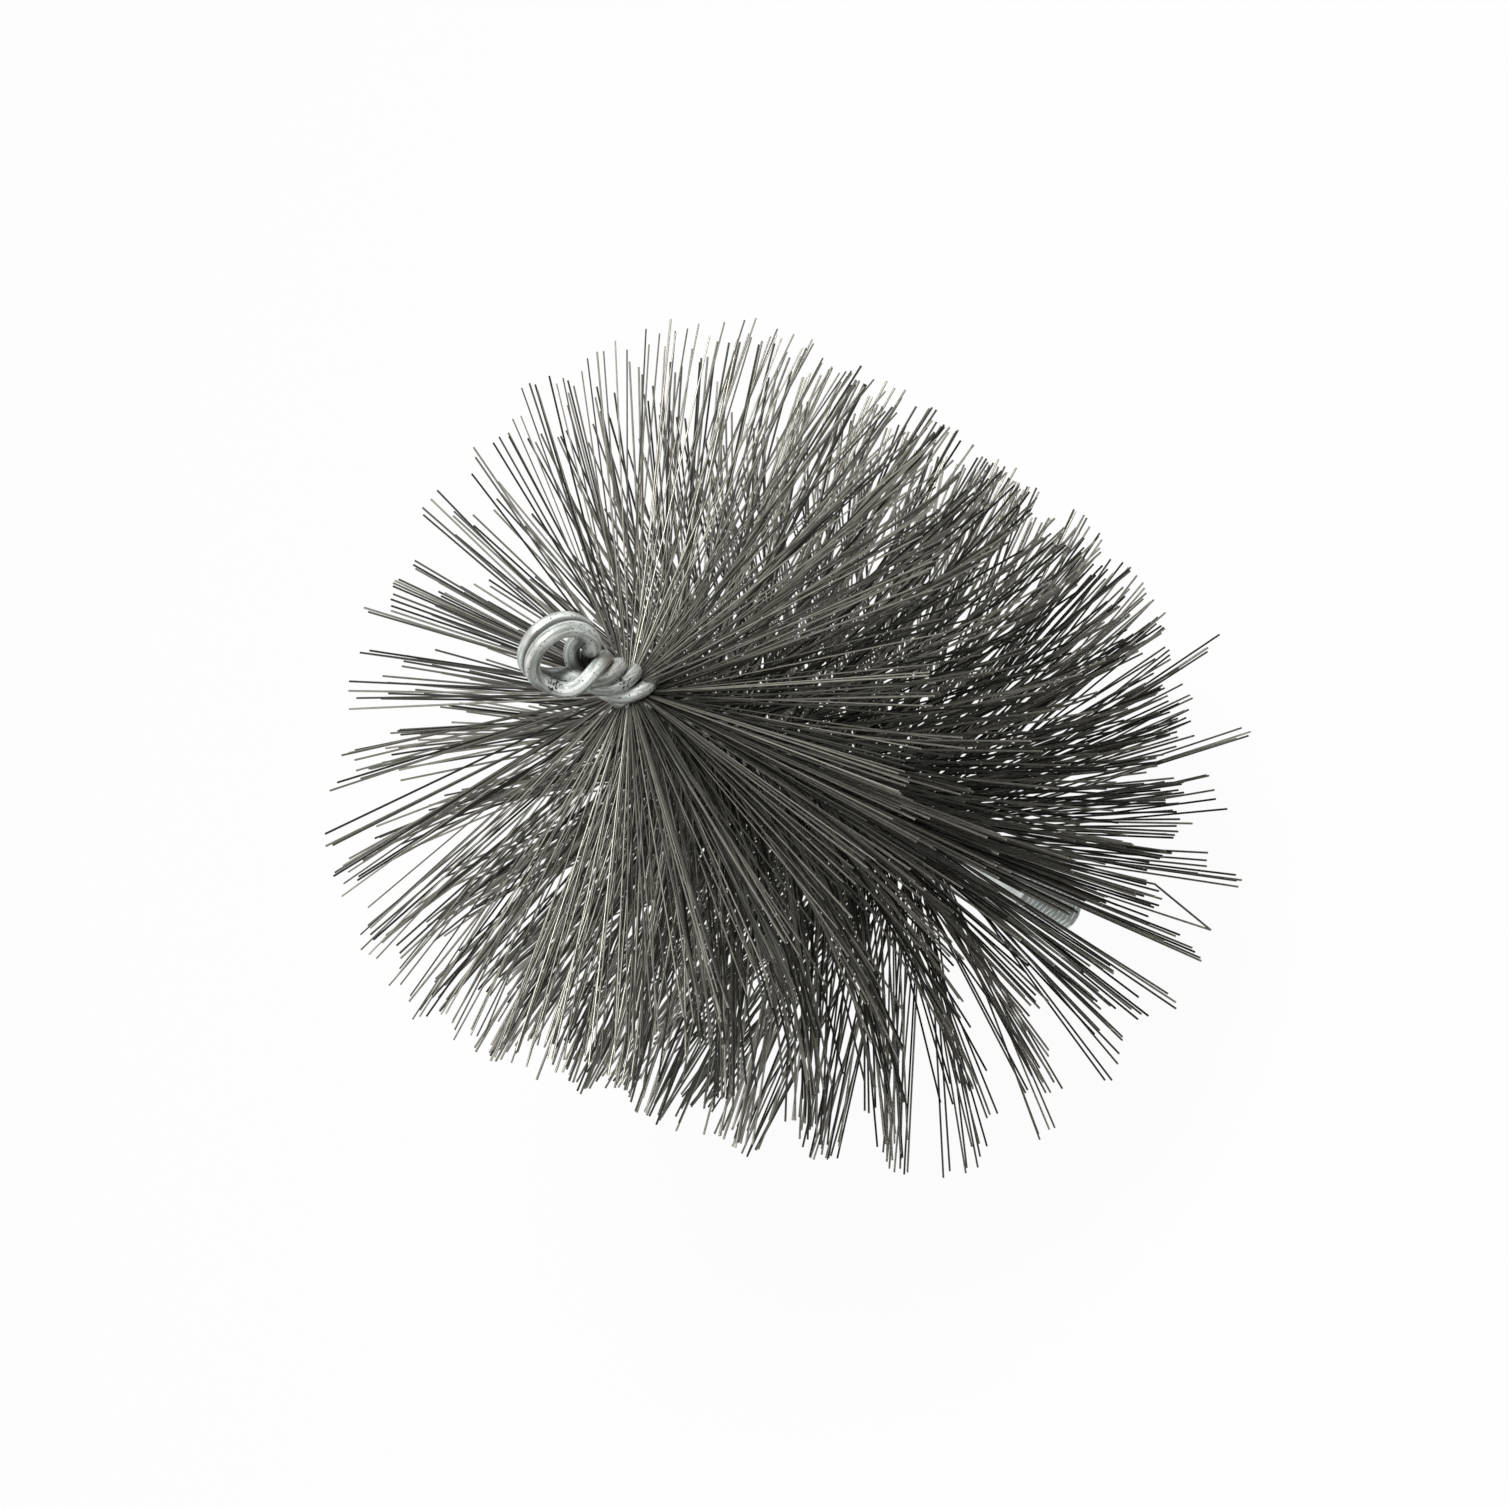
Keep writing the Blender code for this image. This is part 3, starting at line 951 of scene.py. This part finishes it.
    def _rows(self, graph: GeometryGraph, given: dict[str, Signal]) -> Signal:
        """Roots of the layer's two rows, each with the way that its bristle goes.

        Args:
            graph: Tree that they are worked out in.
            given: The tree's named inputs.

        Returns:
            Points that carry an aim, a tone that is partly a painted highlight, and a sway.
        """
        zone = given["Top"] - given["Bottom"]
        count = (zone / given["Spacing"]).floor() * 2
        points = graph.signal("GeometryNodePoints", {"Count": count})
        index = graph.signal("GeometryNodeInputIndex")
        row = index % 2
        level = (index / 2).floor()
        ragged = graph.random((0.0, self.raggedness), index, Draw.GROUP_END)
        group = ((level + ragged) / given["Group Size"]).floor()
        group_key = group * 2 + row + given["Seed"] * self.group_seeds
        own_key = index + given["Seed"] * self.own_seeds
        height = given["Bottom"] + given["Spacing"] * (level + 0.5)
        group_height = given["Bottom"] + given["Spacing"] * given["Group Size"] * (group + 0.5)
        meant_height = height + (group_height - height) * self.gathering
        row_angle = given["Top Angle"] + given["Row Angle"] + row * math.pi
        root_angle = row_angle + given["Turn Rate"] * (given["Top"] - height)
        swing = (graph.scattered(self.group_swing, group_key, Draw.GROUP_SWING)
                 + graph.scattered(self.own_swing, own_key, Draw.OWN_SWING))
        angle = row_angle + given["Turn Rate"] * (given["Top"] - meant_height) + swing
        angle = angle + self._parted(given, angle, height)
        tilt = (given["Front Lean"] * (height - given["Bottom"]) / zone
                + graph.scattered(self.group_tilt, group_key, Draw.GROUP_TILT)
                + graph.scattered(self.own_tilt, own_key, Draw.OWN_TILT))
        group_short = graph.random((0.0, 1.0), group_key, Draw.GROUP_SHORTFALL)
        own_short = graph.random((0.0, 1.0), own_key, Draw.OWN_SHORTFALL)
        shortfall = (group_short ** self.group_shortfall_power * self.group_shortfall
                     + own_short ** self.own_shortfall_power * self.own_shortfall)
        length = given["Reach"] - shortfall - given["Root Radius"]
        length = length * self._trimmed(given, angle, height)
        root = graph.vector(root_angle.cosine() * given["Root Radius"],
                            root_angle.sine() * given["Root Radius"], height)
        aim = graph.vector(angle.cosine() * length, angle.sine() * length, tilt * length)
        side = graph.scattered(self.bow, group_key, Draw.SIDEWAYS_BOW)
        sway = graph.vector(side * angle.sine(), side * angle.cosine() * -1.0,
                            graph.scattered(self.bow, own_key, Draw.UPWARD_BOW))
        painted_root_shade = graph.signal("GeometryNodeSetPosition", {"Geometry": points, "Position": root})
        aimed = graph.stored(painted_root_shade, "aim", aim, "FLOAT_VECTOR")
        # Random tone of each bristle, the light end of which is partly a painted highlight.
        tone_and_highlight = graph.random((0.0, 1.0), own_key, Draw.TONE_AND_HIGHLIGHT)
        toned = graph.stored(aimed, "tone_and_highlight", tone_and_highlight, "FLOAT")
        return graph.stored(toned, "sway", sway, "FLOAT_VECTOR")

    @staticmethod
    def _apart(angle: Signal, middle: Signal) -> Signal:
        """Turn from one way round the stem to another, half a turn at most."""
        return (angle - middle + math.pi) % math.tau - math.pi

    def _parted(self, given: dict[str, Signal], angle: Signal, height: Signal) -> Signal:
        """Turn of the low bristles away from the parting, through which the stud shows.

        Args:
            given: The tree's named inputs.
            angle: Way that a bristle goes round the stem.
            height: Height of its root.

        Returns:
            The turn that is added to its angle.
        """
        apart = self._apart(angle, given["Parting"])
        near = (1.0 - abs(apart) / given["Parting Width"]).most(0.0)
        side = 1.0 - apart.below(0.0) * 2.0
        return side * near * given["Parting Push"] * height.below(given["Parting Top"])

    def _trimmed(self, given: dict[str, Signal], angle: Signal, height: Signal) -> Signal:
        """Share of their length that the lowest bristles keep on the side where they are short.

        Args:
            given: The tree's named inputs.
            angle: Way that a bristle goes round the stem.
            height: Height of its root.

        Returns:
            The factor of its length.
        """
        apart = abs(self._apart(angle, given["Trimmed Side"]))
        near = (1.0 - apart / given["Trimmed Width"]) * self.trimmed_fade
        low = (given["Trimmed Top"] - height) / (given["Trimmed Top"] - given["Bottom"])
        return 1.0 - given["Trimmed Share"] * near.most(0.0).least(1.0) * low.most(0.0)

    def _strays(self) -> list[Strand]:
        """Make the bristles that stand out of the rows, the parts of the bent one included.

        Returns:
            The bristles.
        """
        rng = random.Random(self.seed)
        strands = [strand for tuft in self.tufts for strand in tuft.strands(rng)]
        bent = [Vector(point) for point in self.bent]
        parts = [*zip(bent, bent[1:]), (bent[0], bent[-1])]
        return strands + [Strand(root, tip) for root, tip in parts]

    def _roots(self, strays: list[Strand]) -> bpy.types.Mesh:
        """Roots of stray bristles, with the attributes that the rows carry.

        Args:
            strays: The bristles.

        Returns:
            A mesh with one loose point for each.
        """
        mesh = bpy.data.meshes.new("stray_roots")
        mesh.from_pydata([strand.root for strand in strays], [], [])
        kinds = {"aim": "FLOAT_VECTOR", "sway": "FLOAT_VECTOR", "tone_and_highlight": "FLOAT",
                 "slimming": "FLOAT"}
        for name, kind in kinds.items():
            mesh.attributes.new(name, kind, "POINT")
        for number, strand in enumerate(strays):
            # Least tone of the stray: raised on the front fans as painted light.
            least = strand.painted_front_light
            # Tone of each stray, partly a painted highlight on the light ones.
            tone_and_highlight = least + (1 - least) * (number * self.tone_and_highlight_step % 1.0)
            mesh.attributes["aim"].data[number].vector = strand.tip - strand.root
            mesh.attributes["tone_and_highlight"].data[number].value = tone_and_highlight
            mesh.attributes["slimming"].data[number].value = strand.slimming
        return mesh

    def _strand(self, graph: GeometryGraph) -> Signal:
        """Strand that the bristles are copies of, of unit length and half-width along X.

        Args:
            graph: Tree that it is made in.

        Returns:
            The strand, which carries the place along it.
        """
        line = graph.signal("GeometryNodeCurvePrimitiveLine",
                            {"Start": (0, 0, 0), "End": (1, 0, 0)})
        cut = graph.signal("GeometryNodeResampleCurve",
                           {"Curve": line, "Count": self.segments + 1})
        share = graph.signal("GeometryNodeSplineParameter", output="Factor")
        marked = graph.stored(cut, "along", share, "FLOAT")
        circle = graph.signal("GeometryNodeCurvePrimitiveCircle",
                              {"Resolution": self.sides, "Radius": 1.0}, mode="RADIUS")
        return graph.signal("GeometryNodeCurveToMesh",
                            {"Curve": marked, "Profile Curve": circle, "Fill Caps": True})


@dataclass(frozen=True)
class ThreadedFitting:
    """Turned fitting with a threaded stud and a collar that is crimped on the stem."""

    stud_radius: float = 0.005
    stud_length: float = 0.022
    stud_chamfer: float = 0.001
    undercut_depth: float = 0.00115
    undercut_width: float = 0.0032
    pitch: float = 0.0015
    thread_depth: float = 0.00092
    collar_radius: float = 0.007
    collar_length: float = 0.022
    collar_chamfer: float = 0.0006
    bore_radius: float = 0.00387
    bore_depth: float = 0.019
    crimp_length: float = 0.012
    crimp_depth: float = 0.0006
    crimp_ramp: float = 0.0010
    crimp_flats: int = 6
    centre_flat: float = 0.0012
    root_fillet: float = 0.0004
    edge_guard: float = 0.0001
    edge_round: float = 0.00004
    mouth_chamfer: float = 0.0006
    mouth_round: float = 0.00005
    crest_flat: float = 1 / 8
    root_flat: float = 1 / 4
    crease: float = math.radians(28)
    segments: int = 96
    row_height: float = 0.0001
    chamfer_steps: int = 10
    runout_steps: int = 8
    ramp_steps: int = 5
    crimp_steps: int = 4

    def corners(self) -> list[tuple[float, float, int]]:
        """Corners of the half section, from the end face round to the bore's floor.

        Returns:
            Radius and height of each, and the number of steps that lead to it.
        """
        stud, collar, bore = self.stud_radius, self.collar_radius, self.bore_radius
        root = stud - self.undercut_depth
        undercut = self.stud_length - self.undercut_width
        runout = undercut - self.undercut_depth
        rows = round((runout - self.stud_chamfer) / self.row_height)
        bottom, top = self.stud_length, self.stud_length + self.collar_length
        inset, ramp = collar - self.collar_chamfer, self.crimp_ramp
        crimp_bottom = (bottom + top - self.crimp_length) / 2
        crimp_top = crimp_bottom + self.crimp_length
        guard, edge, mouth = self.edge_guard, self.edge_round, self.mouth_chamfer
        return [(0.0, 0.0, 0), (self.centre_flat, 0.0, 1), (stud - self.stud_chamfer, 0.0, 1),
                (stud, self.stud_chamfer, self.chamfer_steps), (stud, runout, rows),
                (root, undercut, self.runout_steps), (root, bottom - self.root_fillet, 1),
                (root + guard, bottom - guard, 1), (root + self.root_fillet, bottom, 1),
                (inset - guard, bottom, 1), (inset, bottom + edge, 1),
                (collar - edge, bottom + self.collar_chamfer, 1),
                (collar, bottom + self.collar_chamfer + guard, 1), (collar, crimp_bottom, 1),
                (collar, crimp_bottom + ramp, self.ramp_steps),
                (collar, crimp_top - ramp, self.crimp_steps),
                (collar, crimp_top, self.ramp_steps),
                (collar, top - self.collar_chamfer - guard, 1),
                (collar - edge, top - self.collar_chamfer, 1), (inset, top - edge, 1),
                (inset - guard, top, 1), (bore + mouth, top, 1),
                (bore + self.mouth_round, top - mouth + guard, 1), (bore, top - mouth - guard, 1),
                (bore, top - self.bore_depth, 1), (0.0, top - self.bore_depth, 1)]

    def profile(self) -> list[tuple[float, float]]:
        """Divide the half section into its rows.

        Returns:
            Radius and height of each point.
        """
        corners = self.corners()
        section = [corners[0][:2]]
        for (radius, height, _), (next_radius, next_height, steps) in zip(corners, corners[1:]):
            section += [(radius + (next_radius - radius) * step / steps,
                         height + (next_height - height) * step / steps)
                        for step in range(1, steps + 1)]
        return section

    def crimped(self, radius: float, angle: float, height: float) -> float:
        """Press the flats of the crimp into the collar.

        Args:
            radius: Radius before the crimp.
            angle: Way round the axis.
            height: Height of the point.

        Returns:
            The radius after it.
        """
        middle = self.stud_length + self.collar_length / 2
        share = eased((self.crimp_length / 2 - abs(height - middle)) / self.crimp_ramp)
        flat_turn = math.tau / self.crimp_flats
        from_flat = (angle + flat_turn / 2) % flat_turn - flat_turn / 2
        pressed = (self.collar_radius - self.crimp_depth) / math.cos(from_flat)
        return radius + (min(pressed, radius) - radius) * share

    def turned(self) -> bpy.types.Mesh:
        """Turn the blank: the profile with its crimp, before the thread is cut.

        Returns:
            Its closed mesh.
        """
        bm = bmesh.new()
        rings: list[list[bmesh.types.BMVert]] = []
        for radius, height in self.profile():
            if radius == 0.0:
                rings.append([bm.verts.new((0, 0, height))])
                continue
            ring = []
            for step in range(self.segments):
                angle = math.tau * step / self.segments
                outer = radius
                if radius > self.collar_radius - self.crimp_depth:
                    outer = self.crimped(radius, angle, height)
                ring.append(bm.verts.new((outer * math.cos(angle), outer * math.sin(angle),
                                          height)))
            rings.append(ring)
        for lower, upper in zip(rings, rings[1:]):
            for step in range(self.segments):
                after = (step + 1) % self.segments
                corners = [lower[step % len(lower)], lower[after % len(lower)],
                           upper[after % len(upper)], upper[step % len(upper)]]
                bm.faces.new(list(dict.fromkeys(corners)))
        bmesh.ops.recalc_face_normals(bm, faces=bm.faces)
        mesh = bpy.data.meshes.new("turned_blank")
        bm.to_mesh(mesh)
        bm.free()
        return mesh

    def build(self, material: bpy.types.Material) -> bpy.types.Object:
        """Cut the thread in the turned blank.

        Args:
            material: The fitting's finish.

        Returns:
            The fitting as one plain mesh.
        """
        graph = GeometryGraph("thread")
        given = graph.declare({"Pitch": self.pitch, "Thread Depth": self.thread_depth,
                               "Crest Radius": self.stud_radius,
                               "Thread Top": self.stud_length - self.undercut_depth,
                               "Material": material})
        across, along, height = graph.parts(graph.signal("GeometryNodeInputPosition"))
        radius = across.hypotenuse(along)
        phase = (height / given["Pitch"] - along.bearing(across) / math.tau) % 1.0
        from_root = abs(phase - 0.5) * 2
        flank = 1 - self.crest_flat - self.root_flat
        cut = ((1 - self.crest_flat - from_root) / flank).most(0.0).least(1.0)
        threaded = given["Crest Radius"] - given["Thread Depth"] * cut
        above = (height / given["Thread Top"] - 1.0).most(0.0)
        share = radius.least(threaded + above * FAR) / radius.most(TINY)
        moved = graph.vector(across * share, along * share, height)
        shaped = graph.signal("GeometryNodeSetPosition",
                              {"Geometry": given["Geometry"], "Position": moved})
        graph.close(shaped, given["Material"])
        piece = graph.applied("threaded_fitting_turned", self.turned())
        piece.data.shade_smooth()
        piece.data.set_sharp_from_angle(angle=self.crease)
        return piece


@dataclass(frozen=True)
class Studio:
    """Pale floor, soft lights and the camera of the photograph."""

    camera_place: Point = (0.14133, -0.43488, 0.59217)
    camera_right: Point = (0.6332, -0.4788, -0.6082)
    camera_up: Point = (0.7445, 0.5915, 0.3095)
    focal_pixels: float = 3697.0
    frame_pixels: float = 1508.0
    sensor: float = 36.0
    clip: Span = (0.01, 100.0)
    floor_half: float = 6.0
    floor_drop: float = 0.0002
    floor_colour: Colour = (0.86, 0.86, 0.86, 1.0)
    white_share: float = 0.96
    ambient: float = 0.15
    key_power: float = 9.5
    key_side: float = 0.35
    key_place: Point = (0.31, -0.13, 0.99)
    key_target: Point = (0.0, 0.0, 0.10)

    def build(self) -> None:
        """Make the camera, floor, lights and surroundings."""
        self._camera()
        self._floor()
        self._key_light()
        self._surroundings()
        bpy.context.scene.view_settings.view_transform = "Standard"

    def _camera(self) -> None:
        """Camera that was fitted to the brush's rims, eye and stud."""
        data = bpy.data.cameras.new("camera")
        data.sensor_width = self.sensor
        data.lens = self.focal_pixels / self.frame_pixels * self.sensor
        data.clip_start, data.clip_end = self.clip
        right = Vector(self.camera_right).normalized()
        up = Vector(self.camera_up)
        up = (up - right * up.dot(right)).normalized()
        back = right.cross(up)
        turn = Matrix((right, up, back)).transposed()
        camera = placed("camera", data)
        camera.matrix_world = Matrix.Translation(self.camera_place) @ turn.to_4x4()
        bpy.context.scene.camera = camera

    def _floor(self) -> None:
        """Floor that the camera sees almost white, with the brush's shadow left on it."""
        half = self.floor_half
        mesh = bpy.data.meshes.new("floor")
        corners = [(-half, -half, 0), (half, -half, 0), (half, half, 0), (-half, half, 0)]
        mesh.from_pydata(corners, [], [(0, 1, 2, 3)])
        floor = placed("floor", mesh)
        floor.location.z = -self.floor_drop
        graph = MaterialGraph("pale_floor")
        diffuse = graph.signal("ShaderNodeBsdfDiffuse", {"Color": self.floor_colour})
        white = graph.signal("ShaderNodeEmission", {"Color": WHITE, "Strength": 1.0})
        share = self._seen(graph) * self.white_share
        mixed = graph.signal("ShaderNodeMixShader", {0: share, 1: diffuse, 2: white})
        graph.node("ShaderNodeOutputMaterial", {"Surface": mixed})
        mesh.materials.append(graph.material)

    @staticmethod
    def _seen(graph: Graph) -> Signal:
        """Tell the rays that show the background: straight, mirrored or let through.

        Args:
            graph: Tree that asks.

        Returns:
            One for such a ray.
        """
        straight, mirrored, let_through = (
            graph.signal("ShaderNodeLightPath", output=f"Is {kind} Ray")
            for kind in ("Camera", "Glossy", "Transmission"))
        return straight.most(mirrored).most(let_through)

    def _key_light(self) -> None:
        """Soft box above the brush."""
        data = bpy.data.lights.new("key", "AREA")
        data.shape = "SQUARE"
        data.size = self.key_side
        data.energy = self.key_power
        light = placed("key", data)
        light.location = self.key_place
        away = Vector(self.key_place) - Vector(self.key_target)
        light.rotation_euler = away.to_track_quat("Z", "Y").to_euler()

    def _surroundings(self) -> None:
        """White where it is seen, and a plain grey light otherwise."""
        world = bpy.data.worlds.new("surroundings")
        world.use_nodes = True
        bpy.context.scene.world = world
        graph = Graph(world.node_tree)
        dim, white = (graph.signal("ShaderNodeBackground", {"Color": WHITE, "Strength": strength})
                      for strength in (self.ambient, 1.0))
        mixed = graph.signal("ShaderNodeMixShader", {0: self._seen(graph), 1: dim, 2: white})
        graph.node("ShaderNodeOutputWorld", {"Surface": mixed})


def hand_over(piece: bpy.types.Object, nodes: Iterable[str]) -> None:
    """Tell the frame what a piece stands for.

    Args:
        piece: The finished piece.
        nodes: Solids that it replaces.
    """
    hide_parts(*nodes)
    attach(piece, "root")
    LOG.info("%s: %d faces", piece.name, len(piece.data.polygons))


def main() -> None:
    """Build the brush piece by piece round its frame."""
    logging.basicConfig(level=logging.INFO, format="%(name)s %(message)s")
    for old in list(bpy.data.objects):
        bpy.data.objects.remove(old, do_unlink=True)
    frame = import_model()
    slices = sorted(name for name in frame["nodes"] if name.startswith("bristle_slice"))

    Studio().build()
    zinc = ZincPlateFinish().material()
    galvanised = GalvanisedFinish().material()
    steel = BristleFinish().material()

    hand_over(ThreadedFitting().build(zinc), ["threaded_fitting"])
    stem = TwistedStem()
    hand_over(stem.build(StemWire.FIRST, galvanised), ["stem_wire_a"])
    hand_over(stem.build(StemWire.SECOND, galvanised), ["stem_wire_b"])
    field = BristleField()
    for layer in Layer:
        hand_over(field.build(layer, steel), slices)


if __name__ == "__main__":
    main()
